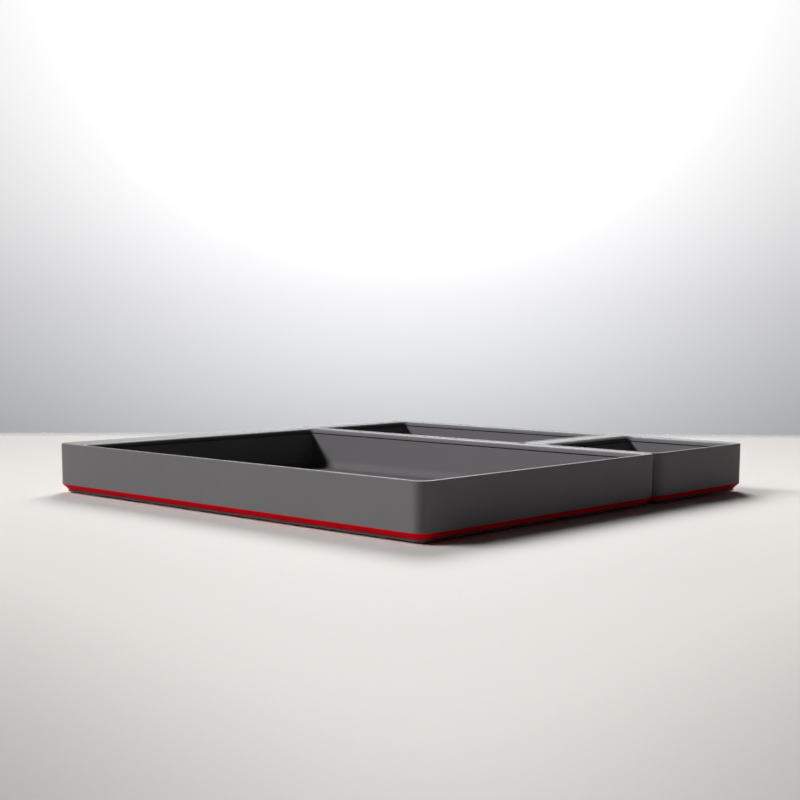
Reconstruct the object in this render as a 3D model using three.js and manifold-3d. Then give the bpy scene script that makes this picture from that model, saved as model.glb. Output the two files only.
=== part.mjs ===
// Drawer organizer: three loose double-walled trays that stand edge to edge in one square.
// Millimetres, +Z up. The origin is the middle of the square, on the surface the trays stand on.
// X runs along the long front of the large tray, Y runs from the front to the back.
import * as THREE from 'three';
import { mergeVertices } from 'three/addons/utils/BufferGeometryUtils.js';
import Module from 'manifold-3d';

const wasm = await Module();
wasm.setup();

// The grid that the trays share
const MODULE = 100;
const TRAY_SPACE = 0.6;

// Heights above the surface, from the bottom up
const FOOT_REACH = 0.7;
const BASE_THICKNESS = 1.4;
const BAND_RISE = 3.3;
const TRAY_HEIGHT = 30;

// Outer shell
const OUTER_CORNER = 7.5;
const OUTER_DRAFT = 0.4;
const SHELL_WALL = 2.2;
const TOP_EDGE_ROUND = 0.6;
const RIM_LAND = 1.5;
const RIM_THICKNESS = 2;
const LIP_RUN = 4.5;
const LIP_DROP = 3;
const LIP_WALL = 1.2;

// Gussets under the wide left ledge
const GUSSET_SPACING = 28;
const GUSSET_THICKNESS = 1.2;
const GUSSET_DROP = 14;
const GUSSET_TIP = 2;

// Inner tray
const LINER_WALL = 1.4;
const LINER_FLOOR = 1.6;
const LINER_DRAFT = 0.4;
const CAVITY_CORNER = 2.5;
const FLOOR_CORNER = 1.2;
const COVE_RADIUS = 5.6;
const TONGUE_WIDTH = 1.5;
const TONGUE_SHOULDER = 1.5;
const JOINT_REVEAL = 0.7;

// Accent band and the base plate under it
const BAND_RUN = 3.4;
const BAND_SEAT = 1.8;
const BAND_SEAT_HEIGHT = 1.9;
const SPIGOT_WALL = 1.4;
const SPIGOT_RISE = 3;
const BASE_EDGE = 0.4;

// Soft feet
const FOOT_RADIUS = 6;
const FOOT_POCKET = 0.7;
const FOOT_EDGE = 0.3;
const FOOT_INSET = 20;

const FIT_GAP = 0.3;
const CORNER_STEPS = 7;
const ROUND_STEPS = 4;
const COVE_STEPS = 5;
const FOOT_STEPS = 28;
const TOOL_REACH = 5;

// Levels and insets that several pieces share
const BASE_TOP = FOOT_REACH + BASE_THICKNESS;
const SHELL_FOOT = BASE_TOP + BAND_RISE;
const RIM_UNDERSIDE = TRAY_HEIGHT - RIM_THICKNESS;
const LIP_BOTTOM = TRAY_HEIGHT - LIP_DROP;
const CAVITY_INSET = RIM_LAND + LIP_RUN;
const LIP_BACK = CAVITY_INSET - LIP_WALL;
const LINER_TOP = LIP_BOTTOM - JOINT_REVEAL;
const FLOOR_TOP = BASE_TOP + LINER_FLOOR;
const COVE_TOP = FLOOR_TOP + COVE_RADIUS;
const BASE_INSET = OUTER_DRAFT + BAND_RUN;

// Each tray in modules, with its place on the grid. The ledge is how much wider the rim is on the
// left than on the other sides.
const TRAYS = [
  { name: 'large', columns: 3, rows: 2, column: 0, row: 0, ledge: 14.5 },
  { name: 'medium', columns: 2, rows: 1, column: 0, row: 2, ledge: 12.5 },
  { name: 'small', columns: 1, rows: 1, column: 2, row: 2, ledge: 12.5 },
];
const GRID_COLUMNS = 3;
const GRID_ROWS = 3;

// A plastic with the colour and sheen that the photograph shows
function plastic(color, roughness) {
  return new THREE.MeshStandardMaterial({ color, roughness, metalness: 0 });
}

// Closed loop round a tray: a rounded rectangle, counter-clockwise from above.
// inset is measured from the tray's outer faces. A loop round the cavity also leaves out the ledge.
function loopAt(tray, { inset, clearsLedge = false, corner, z }) {
  const ledge = clearsLedge ? tray.ledge : 0;
  const right = tray.width / 2 - inset - corner;
  const left = -tray.width / 2 + inset + ledge + corner;
  const back = tray.depth / 2 - inset - corner;
  const front = -back;
  const centres = [[right, back], [left, back], [left, front], [right, front]];
  const points = [];
  centres.forEach(([x, y], quarter) => {
    for (let step = 0; step <= CORNER_STEPS; step += 1) {
      const angle = (quarter + step / CORNER_STEPS) * Math.PI / 2;
      points.push([x + corner * Math.cos(angle), y + corner * Math.sin(angle), z]);
    }
  });
  return points;
}

// Skin through a list of loops. A ring closes on its first loop, anything else is capped at both ends.
function loft(loops, isRing) {
  const count = loops[0].length;
  const indices = [];
  const pairs = isRing ? loops.length : loops.length - 1;
  for (let level = 0; level < pairs; level += 1) {
    const here = level * count;
    const next = ((level + 1) % loops.length) * count;
    for (let i = 0; i < count; i += 1) {
      const j = (i + 1) % count;
      indices.push(here + i, here + j, next + j, here + i, next + j, next + i);
    }
  }
  if (!isRing) {
    const last = (loops.length - 1) * count;
    for (let i = 1; i < count - 1; i += 1) {
      indices.push(0, i + 1, i, last, last + i, last + i + 1);
    }
  }
  const geometry = new THREE.BufferGeometry();
  geometry.setAttribute('position', new THREE.Float32BufferAttribute(loops.flat(2), 3));
  geometry.setIndex(indices);
  return geometry;
}

function toSolid(geometry) {
  const bare = geometry.clone();
  bare.deleteAttribute('normal');
  bare.deleteAttribute('uv');
  const merged = mergeVertices(bare);
  return new wasm.Manifold(new wasm.Mesh({
    numProp: 3,
    vertProperties: Float32Array.from(merged.attributes.position.array),
    triVerts: Uint32Array.from(merged.index.array),
  }));
}

function toGeometry(solid) {
  const mesh = solid.getMesh();
  const geometry = new THREE.BufferGeometry();
  geometry.setAttribute('position', new THREE.BufferAttribute(mesh.vertProperties, 3));
  geometry.setIndex(new THREE.BufferAttribute(mesh.triVerts, 1));
  geometry.computeVertexNormals();
  return geometry;
}

// Quarter round between two levels: steps along an ellipse that starts flat and ends upright.
function quarterRound(run, drop, steps) {
  const points = [];
  for (let step = 1; step <= steps; step += 1) {
    const angle = step / steps * Math.PI / 2;
    points.push([run * Math.sin(angle), drop * (1 - Math.cos(angle))]);
  }
  return points;
}

// Where the loops of the outer wall and of the cavity keep their corners concentric
function outer(inset, z) {
  return { inset, corner: OUTER_CORNER - inset, z };
}

function inner(inset, z) {
  return { inset, clearsLedge: true, corner: CAVITY_CORNER + CAVITY_INSET - inset, z };
}

// Section of the shell: up the outer face, over the rim and its rounded lip, and back down inside.
function shellSection() {
  const edge = quarterRound(TOP_EDGE_ROUND, TOP_EDGE_ROUND, ROUND_STEPS)
    .map(([run, drop]) => outer(TOP_EDGE_ROUND - run, TRAY_HEIGHT - drop))
    .reverse();
  const lip = quarterRound(LIP_RUN, LIP_DROP, ROUND_STEPS)
    .map(([run, drop]) => inner(RIM_LAND + run, TRAY_HEIGHT - drop));
  return [
    outer(OUTER_DRAFT, SHELL_FOOT),
    ...edge,
    outer(TOP_EDGE_ROUND, TRAY_HEIGHT),
    inner(RIM_LAND, TRAY_HEIGHT),
    ...lip,
    inner(LIP_BACK, LIP_BOTTOM),
    inner(LIP_BACK, RIM_UNDERSIDE),
    outer(SHELL_WALL, RIM_UNDERSIDE),
    outer(SHELL_WALL + OUTER_DRAFT, SHELL_FOOT),
  ];
}

// Triangular webs that carry the ledge from the left wall, short of the inner tray's tongue
function gussets(tray) {
  const wallFace = -tray.width / 2 + SHELL_WALL / 2;
  const tip = -tray.width / 2 + tray.ledge + LIP_BACK - TONGUE_WIDTH - 2 * FIT_GAP;
  const profile = new THREE.Shape();
  profile.moveTo(wallFace, RIM_UNDERSIDE + RIM_THICKNESS / 2);
  profile.lineTo(wallFace, RIM_UNDERSIDE - GUSSET_DROP);
  profile.lineTo(wallFace + SHELL_WALL, RIM_UNDERSIDE - GUSSET_DROP);
  profile.lineTo(tip, RIM_UNDERSIDE - GUSSET_TIP);
  profile.lineTo(tip, RIM_UNDERSIDE + RIM_THICKNESS / 2);
  profile.closePath();
  const clearLength = tray.depth - 2 * OUTER_CORNER;
  const count = Math.floor(clearLength / GUSSET_SPACING);
  const webs = [];
  for (let i = 0; i < count; i += 1) {
    const web = new THREE.ExtrudeGeometry(profile, { depth: GUSSET_THICKNESS, bevelEnabled: false });
    web.rotateX(Math.PI / 2);
    web.translate(0, (i - (count - 1) / 2) * GUSSET_SPACING + GUSSET_THICKNESS / 2, 0);
    webs.push(web);
  }
  return webs;
}

function shell(tray) {
  let solid = toSolid(loft(shellSection().map((spot) => loopAt(tray, spot)), true));
  for (const web of gussets(tray)) {
    solid = solid.add(toSolid(web));
  }
  return toGeometry(solid);
}

// Section of the inner tray: from the middle of its underside, up outside, over the tongue that
// stands behind the shell's lip, and down the cavity's face and cove to the floor.
function linerSection() {
  const coveCorner = (share) => THREE.MathUtils.lerp(FLOOR_CORNER, CAVITY_CORNER, share);
  const floorInset = CAVITY_INSET + LINER_DRAFT + COVE_RADIUS;
  const cove = (radius, corner) => {
    const spots = [];
    for (let step = 0; step <= COVE_STEPS; step += 1) {
      const angle = step / COVE_STEPS * Math.PI / 2;
      spots.push({
        inset: floorInset - radius * Math.sin(angle),
        clearsLedge: true,
        corner: corner(step / COVE_STEPS),
        z: COVE_TOP - radius * Math.cos(angle),
      });
    }
    return spots;
  };
  const outside = cove(COVE_RADIUS + LINER_WALL, (share) => coveCorner(share) + LINER_WALL * share);
  const underside = LINER_TOP - TONGUE_SHOULDER;
  const tongueFace = LIP_BACK - FIT_GAP;
  const tongueTop = RIM_UNDERSIDE - FIT_GAP;
  return [
    ...outside,
    inner(CAVITY_INSET - LINER_WALL, underside),
    inner(tongueFace - TONGUE_WIDTH, underside),
    inner(tongueFace - TONGUE_WIDTH, tongueTop),
    inner(tongueFace, tongueTop),
    inner(tongueFace, LINER_TOP),
    inner(CAVITY_INSET, LINER_TOP),
    ...cove(COVE_RADIUS, coveCorner).reverse(),
  ];
}

function liner(tray) {
  return loft(linerSection().map((spot) => loopAt(tray, spot)), false);
}

// Section of the band: the sloping face that shows, the seat on the base plate, and the spigot
// that locates the band inside the shell.
function bandSection() {
  const spigotFace = SHELL_WALL + OUTER_DRAFT + FIT_GAP;
  return [
    outer(OUTER_DRAFT, SHELL_FOOT),
    outer(spigotFace, SHELL_FOOT),
    outer(spigotFace, SHELL_FOOT + SPIGOT_RISE),
    outer(spigotFace + SPIGOT_WALL, SHELL_FOOT + SPIGOT_RISE),
    outer(spigotFace + SPIGOT_WALL, SHELL_FOOT),
    outer(BASE_INSET + BAND_SEAT, BASE_TOP + BAND_SEAT_HEIGHT),
    outer(BASE_INSET + BAND_SEAT, BASE_TOP),
    outer(BASE_INSET, BASE_TOP),
  ];
}

function band(tray) {
  return loft(bandSection().map((spot) => loopAt(tray, spot)), true);
}

// Centres of the four feet, measured in from the tray's outer faces
function footCentres(tray) {
  const x = tray.width / 2 - FOOT_INSET;
  const y = tray.depth / 2 - FOOT_INSET;
  return [[-x, -y], [x, -y], [x, y], [-x, y]];
}

// Round plate on Z with a chamfered lower edge: the profile starts and ends on the axis.
function disc(radius, bottom, top, edge) {
  const profile = [
    new THREE.Vector2(0, bottom),
    new THREE.Vector2(radius - edge, bottom),
    new THREE.Vector2(radius, bottom + edge),
    new THREE.Vector2(radius, top),
    new THREE.Vector2(0, top),
  ];
  const geometry = new THREE.LatheGeometry(profile, FOOT_STEPS);
  geometry.rotateX(Math.PI / 2);
  return geometry;
}

// Base plate: a flat tray bottom with an eased lower edge and a shallow pocket for each foot
function base(tray) {
  const loops = [
    outer(BASE_INSET + BASE_EDGE, FOOT_REACH),
    outer(BASE_INSET, FOOT_REACH + BASE_EDGE),
    outer(BASE_INSET, BASE_TOP),
  ];
  let solid = toSolid(loft(loops.map((spot) => loopAt(tray, spot)), false));
  for (const [x, y] of footCentres(tray)) {
    const pocket = disc(FOOT_RADIUS + FIT_GAP, FOOT_REACH - TOOL_REACH, FOOT_REACH + FOOT_POCKET, 0);
    pocket.translate(x, y, 0);
    solid = solid.subtract(toSolid(pocket));
  }
  return toGeometry(solid);
}

function foot() {
  return disc(FOOT_RADIUS, 0, FOOT_REACH + FOOT_POCKET, FOOT_EDGE);
}

function addPiece(group, name, geometry, material, x = 0, y = 0) {
  const mesh = new THREE.Mesh(geometry, material);
  mesh.name = name;
  mesh.position.set(x, y, 0);
  group.add(mesh);
}

function buildTray(spec) {
  const tray = {
    ...spec,
    width: spec.columns * MODULE - TRAY_SPACE,
    depth: spec.rows * MODULE - TRAY_SPACE,
  };
  const group = new THREE.Group();
  group.position.set(
    (spec.column + (spec.columns - GRID_COLUMNS) / 2) * MODULE,
    (spec.row + (spec.rows - GRID_ROWS) / 2) * MODULE,
    0,
  );
  addPiece(group, `${spec.name}_shell`, shell(tray), plastic('#6f6d6f', 0.35));
  addPiece(group, `${spec.name}_liner`, liner(tray), plastic('#757375', 0.55));
  addPiece(group, `${spec.name}_band`, band(tray), plastic('#c6051a', 0.45));
  addPiece(group, `${spec.name}_base`, base(tray), plastic('#6a5f5d', 0.6));
  footCentres(tray).forEach(([x, y], i) => {
    addPiece(group, `${spec.name}_foot_${i + 1}`, foot(), plastic('#1c1b1b', 0.9), x, y);
  });
  return group;
}

const organizer = new THREE.Group();
for (const spec of TRAYS) {
  organizer.add(buildTray(spec));
}

export default organizer;
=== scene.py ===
"""Looks of a drawer organizer: three loose double-walled trays that stand edge to edge in one square.

Metres, +Z up, with the trays on the plane z = 0. X runs along the front of the large tray, Y to the back.
"""

import math

import bpy
import numpy as np
from bpy.props import FloatProperty, FloatVectorProperty, IntProperty, PointerProperty
from mathutils import Matrix, Vector


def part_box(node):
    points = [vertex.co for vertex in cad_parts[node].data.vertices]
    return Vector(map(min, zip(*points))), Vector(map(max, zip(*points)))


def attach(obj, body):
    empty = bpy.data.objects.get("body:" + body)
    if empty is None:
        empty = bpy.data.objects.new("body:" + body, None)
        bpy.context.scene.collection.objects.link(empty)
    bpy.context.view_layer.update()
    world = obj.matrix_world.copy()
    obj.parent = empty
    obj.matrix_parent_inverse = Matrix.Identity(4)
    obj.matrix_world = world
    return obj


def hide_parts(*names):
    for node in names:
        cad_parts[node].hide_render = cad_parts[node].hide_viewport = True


bl_info = {
    "name": "Drawer Organizer",
    "version": (1, 0, 0),
    "blender": (4, 5, 0),
    "location": "3D View > Sidebar > Organizer",
    "description": "Builds the trays of a drawer organizer and the studio that they are shown in",
    "category": "Add Mesh",
}

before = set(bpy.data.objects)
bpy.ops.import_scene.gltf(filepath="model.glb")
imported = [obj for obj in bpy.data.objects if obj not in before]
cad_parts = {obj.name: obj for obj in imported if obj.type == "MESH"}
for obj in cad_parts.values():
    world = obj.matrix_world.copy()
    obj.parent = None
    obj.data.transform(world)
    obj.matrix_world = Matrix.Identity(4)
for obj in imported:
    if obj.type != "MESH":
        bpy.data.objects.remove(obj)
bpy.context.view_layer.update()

TRAYS = ("large", "medium", "small")
FEET_PER_TRAY = 4
QUARTER_TURN = math.pi / 2

# Faces that meet at more than this show an edge, and all others shade as one rounding
SHARP_ANGLE = math.radians(38)

# Moulded plastic: size of its flow clouds and of the patches that hands rub, how much those change its
# roughness, and the refraction of ABS
CLOUD_MM = 38
RUBBED_MM = 16
RUBBED_CHANGE = 0.01
PLASTIC_IOR = 1.53

# Painted shade on the floor: how much of its tone is left at the floor, rising to full at the cove's top
FLOOR_SHADE_TONE = 0.72

# The backdrop: greys by height (the upright part of a direction), how bright its middle is, what share of
# that is left far off to the side, and how fast it falls off
BACKDROP_GREYS = ((-0.08, "#9d9fa2"), (0.02, "#bebec0"), (0.225, "#ffffff"))
BACKDROP_LEVEL = 1.8
BACKDROP_EDGE = 0.33
BACKDROP_SPREAD = 0.054

# The same as the trays mirror it: brighter and narrower, and it ends at this height
MIRRORED_LEVEL = 6.5
MIRRORED_EDGE = 0.03
MIRRORED_TOP = 0.18

# The pool of light painted into the table's colour: how fast it narrows towards its tip, how round the tip
# is, and over which depths in metres it rises from its near level to full and falls again to its far level
POOL_SLANT = 1.3
POOL_TIP = 0.08
POOL_RISE = (-0.02, 0.36)
POOL_FALL = (0.7, 1.45)
POOL_NEAR_LEVEL = 0.38
POOL_FAR_LEVEL = 0.64


def linear(hex_colour):
    """Turn an sRGB hex value into the linear red, green and blue that shaders and lamps take."""
    channels = (int(hex_colour[i : i + 2], 16) / 255 for i in (1, 3, 5))
    return tuple(c / 12.92 if c <= 0.04045 else ((c + 0.055) / 1.055) ** 2.4 for c in channels)


def length(name, description, millimetres):
    """A size of the organizer that a user can set, given in millimetres and kept in metres."""
    return FloatProperty(
        name=name,
        description=description,
        default=millimetres / 1000,
        min=0,
        precision=5,
        unit="LENGTH",
    )


def colour(name, description, hex_colour):
    return FloatVectorProperty(
        name=name,
        description=description,
        default=linear(hex_colour),
        subtype="COLOR",
        size=3,
        min=0,
        max=1,
    )


class OrganizerSizes(bpy.types.PropertyGroup):
    """Sizes of the moulded pieces, the same for all three trays."""

    outer_corner: length("Outer corner", "Radius of the tray's upright corners", 7.5)
    outer_draft: length("Outer draft", "How far the outer wall leans in towards its foot", 0.4)
    shell_wall: length("Shell wall", "Thickness of the outer wall", 2.2)
    top_edge: length("Top edge", "Rounding between the outer wall and the rim", 0.6)
    foot_edge: length("Foot edge", "Rounding at the foot of the outer wall", 0.15)
    rim_land: length("Rim land", "Flat top of the rim", 1.5)
    rim_thickness: length("Rim thickness", "Thickness of the rim", 2)
    lip_run: length("Lip run", "Width of the rounded lip inside the rim", 4.5)
    lip_drop: length("Lip drop", "Height of the rounded lip", 3)
    lip_wall: length("Lip wall", "Thickness of the lip at its lower edge", 1.2)
    cavity_corner: length("Cavity corner", "Radius of the cavity's upright corners", 2.5)
    gusset_spacing: length("Gusset spacing", "Distance between the gussets under the ledge", 28)
    gusset_thickness: length("Gusset thickness", "Thickness of a gusset", 1.2)
    gusset_drop: length("Gusset drop", "How far a gusset reaches down the wall", 14)
    gusset_tip: length("Gusset tip", "Height of a gusset at its free end", 2)
    liner_wall: length("Liner wall", "Thickness of the inner tray's walls", 1.4)
    liner_floor: length("Liner floor", "Thickness of the inner tray's floor", 1.6)
    liner_draft: length("Liner draft", "How far the cavity walls lean in towards the floor", 0.4)
    floor_corner: length("Floor corner", "Radius of the corners of the flat floor", 1.2)
    cove: length("Cove", "Radius between the cavity walls and the floor", 5.6)
    tongue_width: length("Tongue width", "Width of the tongue behind the lip", 1.5)
    tongue_shoulder: length("Tongue shoulder", "Height of the step that carries the tongue", 1.5)
    joint_reveal: length("Joint reveal", "Open joint between the lip and the inner tray", 0.7)
    fit_gap: length("Fit gap", "Clearance between pieces that fit into each other", 0.3)
    band_run: length("Band run", "How far the band's face slopes in", 3.4)
    band_seat: length("Band seat", "Width of the band where it stands on the base", 1.8)
    band_seat_height: length("Band seat height", "Height of the band's seat", 1.9)
    band_edge: length("Band edge", "Rounding at the edges of the band's face", 0.12)
    spigot_wall: length("Spigot wall", "Thickness of the band's spigot", 1.4)
    spigot_rise: length("Spigot rise", "How far the spigot reaches up inside the wall", 3)
    corner_steps: IntProperty(name="Corner steps", description="Faces in a quarter corner", default=16, min=2)
    round_steps: IntProperty(name="Round steps", description="Faces across a small round", default=8, min=1)


class OrganizerColours(bpy.types.PropertyGroup):
    """Colours of the plastics, the feet and the table."""

    shell: colour("Shell", "Dark grey of the outer shells", "#6f6d6f")
    liner: colour("Liner", "Dark grey of the inner trays", "#757375")
    band: colour("Band", "Red of the accent band", "#e0061d")
    base: colour("Base", "Dark grey of the base plates", "#6a5f5d")
    foot: colour("Foot", "Black of the rubber feet", "#1c1b1b")
    table: colour("Table", "Warm white of the table top", "#f4f0ec")


class OrganizerStudio(bpy.types.PropertyGroup):
    """The camera, the lamps and the table."""

    camera_place: FloatVectorProperty(
        name="Camera place",
        description="Where the camera stands",
        default=(0.5623, -0.6113, 0.1004),
        subtype="TRANSLATION",
        size=3,
    )
    camera_heading: FloatProperty(
        name="Heading",
        description="How far the camera looks to the left of the row's back direction",
        default=math.radians(42.79),
        subtype="ANGLE",
    )
    camera_dip: FloatProperty(
        name="Dip",
        description="How far the camera looks down",
        default=math.radians(3.03),
        subtype="ANGLE",
    )
    camera_roll: FloatProperty(
        name="Roll",
        description="How far the camera is turned about its own axis",
        default=math.radians(0.19),
        subtype="ANGLE",
    )
    camera_lens: FloatProperty(
        name="Lens",
        description="Focal length in millimetres on a sensor 36 mm wide",
        default=61.0,
        subtype="DISTANCE_CAMERA",
    )
    table_reach: length("Table reach", "From the camera to the table's far edge", 1302)
    table_edge: length("Table edge", "Depth over which the table fades out at its far edge", 60)
    pool_shift: length("Pool shift", "How far the pool of light lies right of the camera's line of sight", 10)
    table_width: length("Table width", "Width of the table", 4000)
    table_length: length("Table length", "From the table's far edge to its near edge", 3200)
    key_direction: FloatVectorProperty(
        name="Key direction",
        description="Direction from the trays to the key lamp",
        default=(-0.766, -0.643, 0.806),
        subtype="DIRECTION",
        size=3,
    )
    key_strength: FloatProperty(name="Key strength", description="Strength of the key lamp", default=3.75)
    key_size: FloatProperty(
        name="Key size",
        description="Angle that the key lamp covers as seen from the trays",
        default=math.radians(12),
        subtype="ANGLE",
    )
    diffused_direction: FloatVectorProperty(
        name="Diffused direction",
        description="Direction from the table to the key lamp behind its diffuser",
        default=(-0.72, -0.6, 0.85),
        subtype="DIRECTION",
        size=3,
    )
    diffused_strength: FloatProperty(
        name="Diffused strength", description="Strength of the key lamp on the table", default=2.2
    )
    diffused_size: FloatProperty(
        name="Diffused size",
        description="Angle that the diffuser covers as seen from the table",
        default=math.radians(36),
        subtype="ANGLE",
    )
    window_direction: FloatVectorProperty(
        name="Window direction",
        description="Direction from the trays to the wide soft lamp behind them",
        default=(-0.68, 0.73, 0.8),
        subtype="DIRECTION",
        size=3,
    )
    window_distance: length("Window distance", "From the trays to the wide soft lamp", 2000)
    window_size: length("Window size", "Side of the wide soft lamp", 900)
    window_power: FloatProperty(
        name="Window power", description="Power of the wide soft lamp in watts", default=31
    )
    fill_strength: FloatProperty(name="Fill strength", description="Level of the room's light", default=0.015)


def tray_box(tray):
    """Outer corners of a tray: the shell's box in plan, and the whole tray's box in height."""
    low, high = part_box(f"{tray}_shell")
    foot_low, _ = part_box(f"{tray}_foot_1")
    return Vector((low.x, low.y, foot_low.z)), high


def levels(tray, sizes):
    """Heights at which a tray's pieces meet, worked out as the maker stacks them, and the width of its ledge.

    The ledge is how much further the inner tray stands off the shell on the left than on the right.
    """
    _, base_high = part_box(f"{tray}_base")
    band_low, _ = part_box(f"{tray}_band")
    shell_low, shell_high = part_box(f"{tray}_shell")
    liner_low, liner_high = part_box(f"{tray}_liner")
    top = shell_high.z
    return {
        "ledge": (liner_low.x - shell_low.x) - (shell_high.x - liner_high.x),
        "band_foot": band_low.z,
        "shell_foot": shell_low.z,
        "top": top,
        "rim_underside": top - sizes.rim_thickness,
        "lip_bottom": top - sizes.lip_drop,
        "liner_top": top - sizes.lip_drop - sizes.joint_reveal,
        "floor_top": base_high.z + sizes.liner_floor,
        "cove_top": base_high.z + sizes.liner_floor + sizes.cove,
    }


def outer_spots(sizes, inset, z):
    """Rows (inset, ledge, corner, z) of section points, with corners concentric with the outer wall's."""
    inset, z = np.broadcast_arrays(np.atleast_1d(inset), np.atleast_1d(z))
    return np.stack([inset, np.zeros(len(inset)), sizes.outer_corner - inset, z], axis=1)


def inner_spots(sizes, at, inset, z):
    """The same rows for points whose corners stay concentric with the cavity's, past the left ledge."""
    inset, z = np.broadcast_arrays(np.atleast_1d(inset), np.atleast_1d(z))
    cavity_inset = sizes.rim_land + sizes.lip_run
    corner = sizes.cavity_corner + cavity_inset - inset
    return np.stack([inset, np.full(len(inset), at["ledge"]), corner, z], axis=1)


def carry_round(spots, box, corner_steps):
    """Carry a section round a tray.

    A row (inset, ledge, corner, z) becomes one rounded rectangle. Its four arc centres lie inset + corner
    inside the tray's faces, the left two ledge further in, and its points are
    centre + corner * (cos a, sin a), with a running through quarter q from q to q + 1 right angles.
    """
    low, high = box
    inset, ledge, corner, z = spots.T
    right = high.x - inset - corner
    left = low.x + inset + ledge + corner
    back = high.y - inset - corner
    front = low.y + inset + corner
    centre_x = np.stack([right, left, left, right], axis=1)[:, :, None]
    centre_y = np.stack([back, back, front, front], axis=1)[:, :, None]
    angle = (np.arange(4)[:, None] + np.linspace(0, 1, corner_steps + 1)[None]) * QUARTER_TURN
    x = centre_x + corner[:, None, None] * np.cos(angle)
    y = centre_y + corner[:, None, None] * np.sin(angle)
    rows = len(spots)
    height = np.broadcast_to(z[:, None, None], x.shape)
    return np.stack([x, y, height], axis=-1).reshape(rows, -1, 3)


def grid_faces(rows, columns, is_ring):
    """Quads (i, j), (i, j+1), (i+1, j+1), (i+1, j) of a grid that closes round its columns.

    On a ring its rows close too.
    """
    row = np.arange(rows if is_ring else rows - 1)[:, None]
    here = row * columns
    above = (row + 1) % rows * columns
    column = np.arange(columns)[None]
    beside = (column + 1) % columns
    quads = np.stack([here + column, here + beside, above + beside, above + column], axis=-1)
    return quads.reshape(-1, 4).tolist()


def lofted(grid, is_ring):
    """Points and faces of a skin over a grid of loops. One that isn't a ring gets a flat cap at each end."""
    rows, columns, _ = grid.shape
    faces = grid_faces(rows, columns, is_ring)
    if not is_ring:
        first = np.arange(columns)
        faces.append(first[::-1].tolist())
        faces.append((first + (rows - 1) * columns).tolist())
    return grid.reshape(-1, 3), faces


def joined(parts):
    """Points and faces of several closed skins as one list, each part's faces counted on from the last."""
    starts = np.cumsum([0] + [len(points) for points, _ in parts[:-1]])
    points = np.concatenate([points for points, _ in parts])
    faces = [[int(start + i) for i in face] for start, (_, part) in zip(starts, parts) for face in part]
    return points, faces


def make_piece(name, points, faces, material, body, node):
    """Put a skin into the scene: smooth over its roundings, sharp at its edges, and riding on its tray."""
    mesh = bpy.data.meshes.new(name)
    mesh.from_pydata(points.tolist(), [], faces)
    mesh.update()
    mesh.shade_smooth()
    mesh.set_sharp_from_angle(angle=SHARP_ANGLE)
    mesh.materials.append(material)
    piece = bpy.data.objects.new(name, mesh)
    bpy.context.scene.collection.objects.link(piece)
    normals = piece.modifiers.new("Even shading", "WEIGHTED_NORMAL")
    normals.keep_sharp = True
    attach(piece, body)
    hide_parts(node)
    return piece


def rising_round(radius, steps):
    """Quarter round from upright to flat: (radius * (1 - cos a), radius * sin a), a to a right angle."""
    angle = np.linspace(0, QUARTER_TURN, steps + 1)
    return radius * (1 - np.cos(angle)), radius * np.sin(angle)


def falling_round(run, drop, steps):
    """Quarter of an ellipse from flat to upright: (run * sin a, drop * (1 - cos a))."""
    angle = np.linspace(0, QUARTER_TURN, steps + 1)
    return run * np.sin(angle), drop * (1 - np.cos(angle))


def shell_section(sizes, at):
    """Up the outer wall, over the rim and its rounded lip, and back down on the hidden side."""
    foot_inset, foot_rise = rising_round(sizes.foot_edge, sizes.round_steps // 2)
    edge_inset, edge_rise = rising_round(sizes.top_edge, sizes.round_steps)
    lip_inset, lip_fall = falling_round(sizes.lip_run, sizes.lip_drop, 2 * sizes.round_steps)
    lip_back = sizes.rim_land + sizes.lip_run - sizes.lip_wall
    foot_z = at["shell_foot"] + sizes.foot_edge - foot_rise
    return np.concatenate(
        [
            outer_spots(sizes, sizes.outer_draft + foot_inset[::-1], foot_z[::-1]),
            outer_spots(sizes, edge_inset, at["top"] - sizes.top_edge + edge_rise),
            inner_spots(sizes, at, sizes.rim_land + lip_inset, at["top"] - lip_fall),
            inner_spots(sizes, at, lip_back, at["lip_bottom"]),
            inner_spots(sizes, at, lip_back, at["rim_underside"]),
            outer_spots(sizes, sizes.shell_wall, at["rim_underside"]),
            outer_spots(sizes, sizes.shell_wall + sizes.outer_draft, at["shell_foot"]),
        ]
    )


def gusset_skins(sizes, at, box):
    """Webs under the ledge: one five-sided outline in X and Z, evenly spaced along Y about the middle."""
    low, high = box
    wall = low.x + sizes.shell_wall / 2
    lip_back = sizes.rim_land + sizes.lip_run - sizes.lip_wall
    tip = low.x + at["ledge"] + lip_back - sizes.tongue_width - 2 * sizes.fit_gap
    under = at["rim_underside"]
    above = under + sizes.rim_thickness / 2
    foot = under - sizes.gusset_drop
    outline = np.array(
        [
            (wall, above),
            (wall, foot),
            (wall + sizes.shell_wall, foot),
            (tip, under - sizes.gusset_tip),
            (tip, above),
        ]
    )
    clear_length = high.y - low.y - 2 * sizes.outer_corner
    count = int(clear_length // sizes.gusset_spacing)
    middle = (low.y + high.y) / 2
    skins = []
    for i in range(count):
        y = middle + (i - (count - 1) / 2) * sizes.gusset_spacing
        sides = np.array([y + sizes.gusset_thickness / 2, y - sizes.gusset_thickness / 2])
        grid = np.empty((2, len(outline), 3))
        grid[:, :, 0] = outline[:, 0]
        grid[:, :, 1] = sides[:, None]
        grid[:, :, 2] = outline[:, 1]
        skins.append(lofted(grid, is_ring=False))
    return skins


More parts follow.
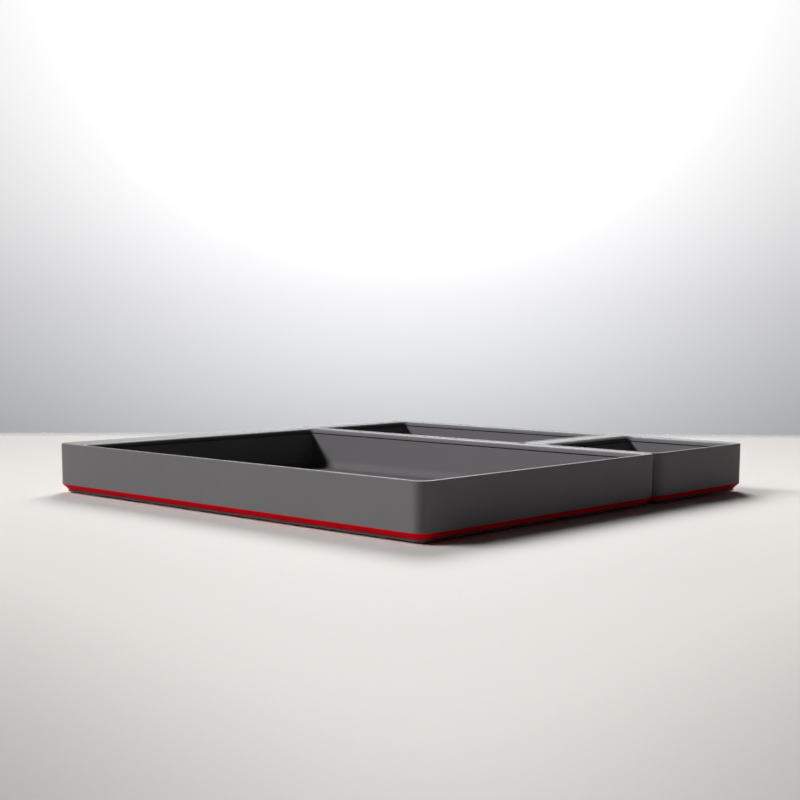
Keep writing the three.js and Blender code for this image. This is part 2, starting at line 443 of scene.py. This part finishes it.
def liner_section(sizes, at):
    """From the underside up the outside, over the tongue, and down the cavity wall and its cove to the floor.

    The cove runs through a right angle: inset = floor inset - r sin a, z = cove top - r cos a, and its corner
    radius grows evenly from the floor's to the cavity's.
    """
    share = np.linspace(0, 1, 2 * sizes.round_steps + 1)
    angle = share * QUARTER_TURN
    cavity_inset = sizes.rim_land + sizes.lip_run
    floor_inset = cavity_inset + sizes.liner_draft + sizes.cove
    corner = sizes.floor_corner + (sizes.cavity_corner - sizes.floor_corner) * share
    ledge = np.full(len(share), at["ledge"])

    def cove_rows(radius, corner_row):
        inset = floor_inset - radius * np.sin(angle)
        z = at["cove_top"] - radius * np.cos(angle)
        return np.stack([inset, ledge, corner_row, z], axis=1)

    lip_back = cavity_inset - sizes.lip_wall
    tongue_face = lip_back - sizes.fit_gap
    tongue_top = at["rim_underside"] - sizes.fit_gap
    shoulder = at["liner_top"] - sizes.tongue_shoulder
    edge_run, edge_fall = falling_round(sizes.foot_edge, sizes.foot_edge, sizes.round_steps // 2)
    return np.concatenate(
        [
            cove_rows(sizes.cove + sizes.liner_floor, corner + sizes.liner_wall * share),
            inner_spots(sizes, at, cavity_inset - sizes.liner_wall, shoulder),
            inner_spots(sizes, at, tongue_face - sizes.tongue_width, shoulder),
            inner_spots(sizes, at, tongue_face - sizes.tongue_width, tongue_top),
            inner_spots(sizes, at, tongue_face, tongue_top),
            inner_spots(sizes, at, tongue_face, at["liner_top"]),
            inner_spots(sizes, at, cavity_inset - sizes.foot_edge + edge_run, at["liner_top"] - edge_fall),
            cove_rows(sizes.cove, corner)[::-1],
        ]
    )


def band_section(sizes, at):
    """Down the sloping face, across the seat on the base, and up round the spigot inside the wall."""
    spigot_face = sizes.shell_wall + sizes.outer_draft + sizes.fit_gap
    foot_inset = sizes.outer_draft + sizes.band_run
    top = at["shell_foot"]
    foot = at["band_foot"]
    edge = sizes.band_edge
    return np.concatenate(
        [
            outer_spots(sizes, sizes.outer_draft, top - edge),
            outer_spots(sizes, sizes.outer_draft + edge, top),
            outer_spots(sizes, spigot_face, top),
            outer_spots(sizes, spigot_face, top + sizes.spigot_rise),
            outer_spots(sizes, spigot_face + sizes.spigot_wall, top + sizes.spigot_rise),
            outer_spots(sizes, spigot_face + sizes.spigot_wall, top),
            outer_spots(sizes, foot_inset + sizes.band_seat, foot + sizes.band_seat_height),
            outer_spots(sizes, foot_inset + sizes.band_seat, foot),
            outer_spots(sizes, foot_inset + edge, foot),
            outer_spots(sizes, foot_inset, foot + edge),
        ]
    )


def new_material(name):
    """An empty node material with its output and one Principled shader."""
    material = bpy.data.materials.new(name)
    material.use_nodes = True
    tree = material.node_tree
    tree.nodes.clear()
    output = tree.nodes.new("ShaderNodeOutputMaterial")
    shader = tree.nodes.new("ShaderNodeBsdfPrincipled")
    tree.links.new(shader.outputs["BSDF"], output.inputs["Surface"])
    return material, tree, shader


def add_node(tree, kind, settings=None, inputs=None):
    """Add one node with its settings. An input that is given a socket is linked to it, any other is set."""
    node = tree.nodes.new(kind)
    for key, value in (settings or {}).items():
        setattr(node, key, value)
    for key, given in (inputs or {}).items():
        if isinstance(given, bpy.types.NodeSocket):
            tree.links.new(given, node.inputs[key])
        else:
            node.inputs[key].default_value = given
    return node


def noise_scale(size_mm):
    """Scale of a noise whose features are this many millimetres across."""
    return 1000 / size_mm


def clouded_colour(tree, place, base_colour, mottle):
    """The plastic's colour in soft clouds where the melt flowed, lighter and darker by the share mottle."""
    clouds = add_node(
        tree,
        "ShaderNodeTexNoise",
        inputs={"Vector": place, "Scale": noise_scale(CLOUD_MM), "Detail": 4, "Roughness": 0.55},
    )
    tint = add_node(
        tree,
        "ShaderNodeMix",
        {"data_type": "RGBA"},
        {
            "Factor": clouds.outputs["Fac"],
            "A": (*(c * (1 - mottle) for c in base_colour), 1),
            "B": (*(min(1, c * (1 + mottle)) for c in base_colour), 1),
        },
    )
    return tint.outputs["Result"]


def rubbed_roughness(tree, place, roughness):
    """The finish's roughness, which is a little less in patches where hands rub it."""
    rubbed = add_node(
        tree,
        "ShaderNodeTexNoise",
        inputs={"Vector": place, "Scale": noise_scale(RUBBED_MM), "Detail": 3, "Roughness": 0.6},
    )
    sheen = add_node(
        tree,
        "ShaderNodeMapRange",
        inputs={
            "Value": rubbed.outputs["Fac"],
            "From Min": 0.3,
            "From Max": 0.7,
            "To Min": roughness - RUBBED_CHANGE,
            "To Max": roughness + RUBBED_CHANGE,
        },
    )
    return sheen.outputs["Result"]


def moulded_grain(tree, place, grain_mm, grain_height_mm):
    """Fine even relief from the mould. The real grain is about 0.2 mm wide, and drawn coarser so it shows."""
    grain = add_node(
        tree,
        "ShaderNodeTexNoise",
        inputs={"Vector": place, "Scale": noise_scale(grain_mm), "Detail": 2, "Roughness": 0.5},
    )
    relief = add_node(
        tree,
        "ShaderNodeBump",
        inputs={"Strength": 1, "Distance": grain_height_mm / 1000, "Height": grain.outputs["Fac"]},
    )
    return relief.outputs["Normal"]


def moulded_plastic(name, base_colour, roughness, gloss, grain_mm, grain_height_mm, mottle):
    """Plastic from a spark-eroded mould.

    It gives a satin surface with a fine even grain, faint flow clouds in the colour, and slightly rubbed,
    glossier patches where hands touch it.
    """
    material, tree, shader = new_material(name)
    place = add_node(tree, "ShaderNodeTexCoord").outputs["Object"]
    tree.links.new(clouded_colour(tree, place, base_colour, mottle), shader.inputs["Base Color"])
    tree.links.new(rubbed_roughness(tree, place, roughness), shader.inputs["Roughness"])
    tree.links.new(moulded_grain(tree, place, grain_mm, grain_height_mm), shader.inputs["Normal"])
    shader.inputs["IOR"].default_value = PLASTIC_IOR
    shader.inputs["Specular IOR Level"].default_value = gloss
    return material


def paint_floor_shade(material, floor_top, cove_top):
    """Paint shade onto the floor and its cove: their colour darkens from the cove's top down to the floor.

    It gives a floor that is a little darker than the walls, so that the cove makes no light line.
    """
    tree = material.node_tree
    base = tree.nodes["Principled BSDF"].inputs["Base Color"]
    unshaded = base.links[0].from_socket
    place = add_node(tree, "ShaderNodeTexCoord").outputs["Object"]
    apart = add_node(tree, "ShaderNodeSeparateXYZ", inputs={"Vector": place})
    tone = add_node(
        tree,
        "ShaderNodeMapRange",
        inputs={
            "Value": apart.outputs["Z"],
            "From Min": floor_top,
            "From Max": cove_top,
            "To Min": FLOOR_SHADE_TONE,
            "To Max": 1,
        },
    )
    # Painted shade: the colour is multiplied by the tone, darker towards the floor
    floor_shaded = add_node(
        tree,
        "ShaderNodeMix",
        {"data_type": "RGBA", "blend_type": "MULTIPLY"},
        {"Factor": 1, "A": unshaded, "B": tone.outputs["Result"]},
    )
    tree.links.new(floor_shaded.outputs["Result"], base)
    return material


def finished(name, make):
    """The material of that name, made on first use and shared after that."""
    return bpy.data.materials.get(name) or make(name)


def shell_plastic(colours):
    """The shells: a satin skin that mirrors only at a flat angle, as on the rim and the wide ledge."""

    def make(name):
        return moulded_plastic(
            name, colours.shell, roughness=0.3, gloss=0.04, grain_mm=0.9, grain_height_mm=0.006, mottle=0.05
        )

    return finished("shell_moulded_abs", make)


def liner_plastic(colours, at):
    """The inner trays: the same plastic, left duller by the mould, with painted shade on the floor and its
    cove.
    """

    def make(name):
        material = moulded_plastic(
            name, colours.liner, roughness=0.65, gloss=0.08, grain_mm=0.9, grain_height_mm=0.006, mottle=0.05
        )
        # Painted shade darkens the floor and its cove
        return paint_floor_shade(material, at["floor_top"], at["cove_top"])

    return finished("liner_moulded_abs", make)


def band_plastic(colours):
    """A smoother plastic, dyed through, whose slope keeps its full red from every side."""

    def make(name):
        return moulded_plastic(
            name, colours.band, roughness=0.45, gloss=0.01, grain_mm=0.7, grain_height_mm=0.003, mottle=0.06
        )

    return finished("band_red_abs", make)


def base_plastic(colours):
    """The base is moulded with a coarser grain that hides scuffs from the table."""

    def make(name):
        return moulded_plastic(
            name, colours.base, roughness=0.6, gloss=0.15, grain_mm=1.2, grain_height_mm=0.02, mottle=0.08
        )

    return finished("base_grained_abs", make)


def foot_rubber(colours):
    """Moulded silicone rubber: no gloss, a dusty skin and a fine open grain."""

    def make(name):
        return moulded_plastic(
            name, colours.foot, roughness=0.85, gloss=0.3, grain_mm=0.6, grain_height_mm=0.02, mottle=0.2
        )

    return finished("foot_silicone_rubber", make)


class ORGANIZER_OT_shells(bpy.types.Operator):
    """Make the outer shells: wall, rim, rounded lip and the gussets under the left ledge"""

    bl_idname = "organizer.shells"
    bl_label = "Outer Shells"

    def execute(self, context):
        sizes = context.scene.organizer_sizes
        material = shell_plastic(context.scene.organizer_colours)
        for tray in TRAYS:
            box = tray_box(tray)
            at = levels(tray, sizes)
            skin = lofted(carry_round(shell_section(sizes, at), box, sizes.corner_steps), is_ring=True)
            points, faces = joined([skin, *gusset_skins(sizes, at, box)])
            name = f"{tray}_outer_shell"
            make_piece(name, points, faces, material, f"{tray}_tray", f"{tray}_shell")
        return {"FINISHED"}


class ORGANIZER_OT_liners(bpy.types.Operator):
    """Make the inner trays: cavity walls, coved floor and the tongue behind the lip"""

    bl_idname = "organizer.liners"
    bl_label = "Inner Trays"

    def execute(self, context):
        sizes = context.scene.organizer_sizes
        for tray in TRAYS:
            at = levels(tray, sizes)
            material = liner_plastic(context.scene.organizer_colours, at)
            section = liner_section(sizes, at)
            points, faces = lofted(carry_round(section, tray_box(tray), sizes.corner_steps), is_ring=False)
            name = f"{tray}_inner_tray"
            make_piece(name, points, faces, material, f"{tray}_tray", f"{tray}_liner")
        return {"FINISHED"}


class ORGANIZER_OT_bands(bpy.types.Operator):
    """Make the red bands between the shells and the bases"""

    bl_idname = "organizer.bands"
    bl_label = "Accent Bands"

    def execute(self, context):
        sizes = context.scene.organizer_sizes
        material = band_plastic(context.scene.organizer_colours)
        for tray in TRAYS:
            section = band_section(sizes, levels(tray, sizes))[::-1]
            points, faces = lofted(carry_round(section, tray_box(tray), sizes.corner_steps), is_ring=True)
            name = f"{tray}_accent_band"
            make_piece(name, points, faces, material, f"{tray}_tray", f"{tray}_band")
        return {"FINISHED"}


class ORGANIZER_OT_undersides(bpy.types.Operator):
    """Finish the base plates and the rubber feet, whose solids already have their full shape"""

    bl_idname = "organizer.undersides"
    bl_label = "Bases and Feet"

    def execute(self, context):
        colours = context.scene.organizer_colours
        for tray in TRAYS:
            feet = [f"{tray}_foot_{i + 1}" for i in range(FEET_PER_TRAY)]
            self.dress(f"{tray}_base", base_plastic(colours))
            for foot in feet:
                self.dress(foot, foot_rubber(colours))
        return {"FINISHED"}

    def dress(self, node, material):
        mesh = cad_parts[node].data
        mesh.materials.clear()
        mesh.materials.append(material)


def camera_turn(studio):
    """Turn of the camera: look along heading and dip, then roll about the line of sight."""
    heading, dip, roll = studio.camera_heading, studio.camera_dip, studio.camera_roll
    look = Vector(
        (-math.sin(heading) * math.cos(dip), math.cos(heading) * math.cos(dip), -math.sin(dip))
    )
    level_right = Vector((math.cos(heading), math.sin(heading), 0))
    level_up = level_right.cross(look)
    right = level_right * math.cos(roll) + level_up * math.sin(roll)
    up = level_up * math.cos(roll) - level_right * math.sin(roll)
    return Matrix((right, up, -look)).transposed()


def add_camera(studio):
    data = bpy.data.cameras.new("Camera")
    data.lens = studio.camera_lens
    data.sensor_width = 36
    data.clip_start = 0.01
    data.clip_end = 20
    camera = bpy.data.objects.new("Camera", data)
    camera.matrix_world = Matrix.Translation(studio.camera_place) @ camera_turn(studio).to_4x4()
    bpy.context.scene.collection.objects.link(camera)
    bpy.context.scene.camera = camera


def pool_depth(tree, x, y):
    """How deep a point lies in the pool of light: y - slant * |x|, with |x| evened out about x = 0."""
    other_side = add_node(tree, "ShaderNodeMath", {"operation": "MULTIPLY"}, {0: x, 1: -1})
    across = add_node(
        tree,
        "ShaderNodeMath",
        {"operation": "SMOOTH_MAX"},
        {0: x, 1: other_side.outputs["Value"], 2: POOL_TIP},
    )
    depth = add_node(
        tree,
        "ShaderNodeMath",
        {"operation": "MULTIPLY_ADD"},
        {0: across.outputs["Value"], 1: -POOL_SLANT, 2: y},
    )
    return depth.outputs["Value"]


def pool_of_light(tree, x, y):
    """Share of the table's tone in a painted pool of light: it rises with the pool's depth near by, falls
    with y far off.

    Here y runs ahead from below the camera's place, and x across.
    """
    near_side = add_node(
        tree,
        "ShaderNodeMapRange",
        {"interpolation_type": "SMOOTHSTEP"},
        {
            "Value": pool_depth(tree, x, y),
            "From Min": POOL_RISE[0],
            "From Max": POOL_RISE[1],
            "To Min": POOL_NEAR_LEVEL,
            "To Max": 1,
        },
    )
    far_side = add_node(
        tree,
        "ShaderNodeMapRange",
        {"interpolation_type": "SMOOTHSTEP"},
        {
            "Value": y,
            "From Min": POOL_FALL[0],
            "From Max": POOL_FALL[1],
            "To Min": 1,
            "To Max": POOL_FAR_LEVEL,
        },
    )
    share = add_node(
        tree,
        "ShaderNodeMath",
        {"operation": "MULTIPLY"},
        {0: near_side.outputs["Result"], 1: far_side.outputs["Result"]},
    )
    return share.outputs["Value"]


def table_finish(studio, colours):
    """Satin laminate: warm white and almost even, with a pool of light painted into its colour that narrows
    towards the near edge.

    It fades out at its far edge, so that it runs into the backdrop without a line.
    """
    material, tree, shader = new_material("table_satin_laminate")
    place = add_node(tree, "ShaderNodeTexCoord").outputs["Object"]
    pool_foot = (
        studio.camera_place[0] + studio.pool_shift * math.cos(studio.camera_heading),
        studio.camera_place[1] + studio.pool_shift * math.sin(studio.camera_heading),
        0,
    )
    turned = add_node(
        tree,
        "ShaderNodeMapping",
        {"vector_type": "TEXTURE"},
        {"Vector": place, "Location": pool_foot, "Rotation": (0, 0, studio.camera_heading)},
    )
    apart = add_node(tree, "ShaderNodeSeparateXYZ", inputs={"Vector": turned.outputs["Vector"]})
    x, y = apart.outputs["X"], apart.outputs["Y"]
    # Painted light and shade: the pool of light multiplies the table's colour
    tint = add_node(
        tree,
        "ShaderNodeMix",
        {"data_type": "RGBA", "blend_type": "MULTIPLY"},
        {"Factor": 1, "A": (*colours.table, 1), "B": pool_of_light(tree, x, y)},
    )
    tree.links.new(tint.outputs["Result"], shader.inputs["Base Color"])
    edge_fade = add_node(
        tree,
        "ShaderNodeMapRange",
        inputs={
            "Value": y,
            "From Min": studio.table_reach - studio.table_edge,
            "From Max": studio.table_reach,
            "To Min": 1,
            "To Max": 0,
        },
    )
    tree.links.new(edge_fade.outputs["Result"], shader.inputs["Alpha"])
    shader.inputs["Roughness"].default_value = 0.6
    shader.inputs["Specular IOR Level"].default_value = 0.1
    return material


def add_table(studio, colours):
    """A flat rectangle under the trays. Its far edge lies across the camera's view."""
    turn = camera_turn(studio)
    ahead = Vector((-turn.col[2].x, -turn.col[2].y, 0)).normalized()
    across = Vector((ahead.y, -ahead.x, 0))
    below_camera = Vector((studio.camera_place[0], studio.camera_place[1], 0))
    far = below_camera + ahead * studio.table_reach
    near = far - ahead * studio.table_length
    side = across * studio.table_width / 2
    corners = [near - side, near + side, far + side, far - side]
    mesh = bpy.data.meshes.new("table_top")
    mesh.from_pydata(corners, [], [(0, 1, 2, 3)])
    mesh.materials.append(table_finish(studio, colours))
    table = bpy.data.objects.new("table_top", mesh)
    bpy.context.scene.collection.objects.link(table)
    return table


def backdrop_grey(tree, height):
    """The backdrop's tone, which lightens with height."""
    low, high = BACKDROP_GREYS[0][0], BACKDROP_GREYS[-1][0]
    share = add_node(
        tree, "ShaderNodeMapRange", inputs={"Value": height, "From Min": low, "From Max": high}
    )
    fade = add_node(tree, "ShaderNodeValToRGB", inputs={"Fac": share.outputs["Result"]})
    rows = fade.color_ramp.elements
    while len(rows) < len(BACKDROP_GREYS):
        rows.new(0.5)
    for row, (z, grey) in zip(rows, BACKDROP_GREYS):
        row.position = (z - low) / (high - low)
        row.color = (*linear(grey), 1)
    return fade.outputs["Color"]


def backdrop_share(tree, direction, heading, is_seen):
    """What is left of the backdrop's light at the cosine c of the angle from the heading.

    It is edge + (1 - edge) * e^((c - 1) / spread), with less at the edge in what is mirrored.
    """
    ahead = (-math.sin(heading), math.cos(heading), 0)
    facing = add_node(
        tree, "ShaderNodeVectorMath", {"operation": "DOT_PRODUCT"}, {0: direction, 1: ahead}
    )
    off_axis = add_node(
        tree,
        "ShaderNodeMath",
        {"operation": "MULTIPLY_ADD"},
        {0: facing.outputs["Value"], 1: 1 / BACKDROP_SPREAD, 2: -1 / BACKDROP_SPREAD},
    )
    pool = add_node(tree, "ShaderNodeMath", {"operation": "EXPONENT"}, {0: off_axis.outputs["Value"]})
    edge = add_node(
        tree,
        "ShaderNodeMapRange",
        inputs={"Value": is_seen, "To Min": MIRRORED_EDGE, "To Max": BACKDROP_EDGE},
    )
    share = add_node(
        tree,
        "ShaderNodeMapRange",
        inputs={"Value": pool.outputs["Value"], "To Min": edge.outputs["Result"], "To Max": 1},
    )
    return share.outputs["Result"]


def backdrop_level(tree, height, is_seen):
    """How bright the backdrop's middle is: one level as it is seen, another as the trays mirror it.

    What is mirrored ends at a low height, so the rounded lips stay darker than the flat rims.
    """
    level = add_node(
        tree,
        "ShaderNodeMapRange",
        inputs={"Value": is_seen, "To Min": MIRRORED_LEVEL, "To Max": BACKDROP_LEVEL},
    )
    low_part = add_node(
        tree,
        "ShaderNodeMapRange",
        inputs={
            "Value": height,
            "From Min": MIRRORED_TOP / 2,
            "From Max": MIRRORED_TOP,
            "To Min": 1,
            "To Max": 0,
        },
    )
    part = add_node(
        tree, "ShaderNodeMath", {"operation": "MAXIMUM"}, {0: is_seen, 1: low_part.outputs["Result"]}
    )
    cut_level = add_node(
        tree,
        "ShaderNodeMath",
        {"operation": "MULTIPLY"},
        {0: level.outputs["Result"], 1: part.outputs["Value"]},
    )
    return cut_level.outputs["Value"]


def add_room(studio):
    """World light: a low even level for the trays, and a lit backdrop for what is seen and mirrored."""
    world = bpy.data.worlds.new("Studio")
    bpy.context.scene.world = world
    world.use_nodes = True
    tree = world.node_tree
    tree.nodes.clear()
    direction = add_node(tree, "ShaderNodeTexCoord").outputs["Generated"]
    height = add_node(tree, "ShaderNodeSeparateXYZ", inputs={"Vector": direction}).outputs["Z"]
    ray = add_node(tree, "ShaderNodeLightPath")
    is_seen = ray.outputs["Is Camera Ray"]
    strength = add_node(
        tree,
        "ShaderNodeMath",
        {"operation": "MULTIPLY"},
        {
            0: backdrop_share(tree, direction, studio.camera_heading, is_seen),
            1: backdrop_level(tree, height, is_seen),
        },
    )
    picture = add_node(
        tree,
        "ShaderNodeBackground",
        inputs={"Color": backdrop_grey(tree, height), "Strength": strength.outputs["Value"]},
    )
    fill = add_node(
        tree, "ShaderNodeBackground", inputs={"Color": (1, 1, 1, 1), "Strength": studio.fill_strength}
    )
    shows_backdrop = add_node(
        tree, "ShaderNodeMath", {"operation": "MAXIMUM"}, {0: is_seen, 1: ray.outputs["Is Glossy Ray"]}
    )
    room = add_node(
        tree,
        "ShaderNodeMixShader",
        inputs={
            0: shows_backdrop.outputs["Value"],
            1: fill.outputs["Background"],
            2: picture.outputs["Background"],
        },
    )
    output = add_node(tree, "ShaderNodeOutputWorld", inputs={"Surface": room.outputs["Shader"]})
    output.target = "ALL"


def add_lamp(name, kind, direction, distance):
    """A lamp that looks along minus its direction at the middle of the trays."""
    data = bpy.data.lights.new(name, kind)
    lamp = bpy.data.objects.new(name, data)
    toward = Vector(direction).normalized()
    lamp.location = toward * distance
    lamp.rotation_mode = "QUATERNION"
    lamp.rotation_quaternion = toward.to_track_quat("Z", "Y")
    bpy.context.scene.collection.objects.link(lamp)
    return lamp


def light_by_receiver(lamp, thing, state):
    """Let a lamp light that thing only (INCLUDE), or everything else (EXCLUDE)."""
    receivers = bpy.data.collections.new(f"{lamp.name} {state.lower()}")
    receivers.objects.link(thing)
    receivers.collection_objects[0].light_linking.link_state = state
    lamp.light_linking.receiver_collection = receivers


def add_lamps(studio, table):
    """A small hard key lamp at the front left, as far off as a sun, and a wide soft one behind the trays.

    The key reaches the table through a wide diffuser, so the trays' shadow on it is soft, and a polarizer
    keeps its hot line off the rounded lips.
    """
    key = add_lamp("Key", "SUN", studio.key_direction, 1)
    key.data.energy = studio.key_strength
    key.data.angle = studio.key_size
    key.visible_glossy = False
    light_by_receiver(key, table, "EXCLUDE")
    diffused = add_lamp("Diffused key", "SUN", studio.diffused_direction, 1)
    diffused.data.energy = studio.diffused_strength
    diffused.data.angle = studio.diffused_size
    light_by_receiver(diffused, table, "INCLUDE")
    window = add_lamp("Window", "AREA", studio.window_direction, studio.window_distance)
    window.data.energy = studio.window_power
    window.data.size = studio.window_size


class ORGANIZER_OT_studio(bpy.types.Operator):
    """Set up the table, the room, the lamps and the camera"""

    bl_idname = "organizer.studio"
    bl_label = "Studio"

    def execute(self, context):
        studio = context.scene.organizer_studio
        table = add_table(studio, context.scene.organizer_colours)
        add_room(studio)
        add_lamps(studio, table)
        add_camera(studio)
        context.scene.view_settings.view_transform = "Standard"
        return {"FINISHED"}


STEPS = (
    ORGANIZER_OT_shells,
    ORGANIZER_OT_liners,
    ORGANIZER_OT_bands,
    ORGANIZER_OT_undersides,
    ORGANIZER_OT_studio,
)


class ORGANIZER_PT_sidebar(bpy.types.Panel):
    """The organizer's pieces, sizes and colours"""

    bl_idname = "ORGANIZER_PT_sidebar"
    bl_label = "Drawer Organizer"
    bl_space_type = "VIEW_3D"
    bl_region_type = "UI"
    bl_category = "Organizer"

    def draw(self, context):
        for step in STEPS:
            self.layout.operator(step.bl_idname)
        for group in ("organizer_sizes", "organizer_colours", "organizer_studio"):
            settings = getattr(context.scene, group)
            box = self.layout.box()
            for field in settings.__annotations__:
                box.prop(settings, field)


CLASSES = (OrganizerSizes, OrganizerColours, OrganizerStudio, *STEPS, ORGANIZER_PT_sidebar)


def register():
    for each in CLASSES:
        bpy.utils.register_class(each)
    bpy.types.Scene.organizer_sizes = PointerProperty(type=OrganizerSizes)
    bpy.types.Scene.organizer_colours = PointerProperty(type=OrganizerColours)
    bpy.types.Scene.organizer_studio = PointerProperty(type=OrganizerStudio)


def unregister():
    del bpy.types.Scene.organizer_studio
    del bpy.types.Scene.organizer_colours
    del bpy.types.Scene.organizer_sizes
    for each in reversed(CLASSES):
        bpy.utils.unregister_class(each)


def main():
    register()
    bpy.ops.organizer.shells()
    bpy.ops.organizer.liners()
    bpy.ops.organizer.bands()
    bpy.ops.organizer.undersides()
    bpy.ops.organizer.studio()


if __name__ == "__main__":
    main()
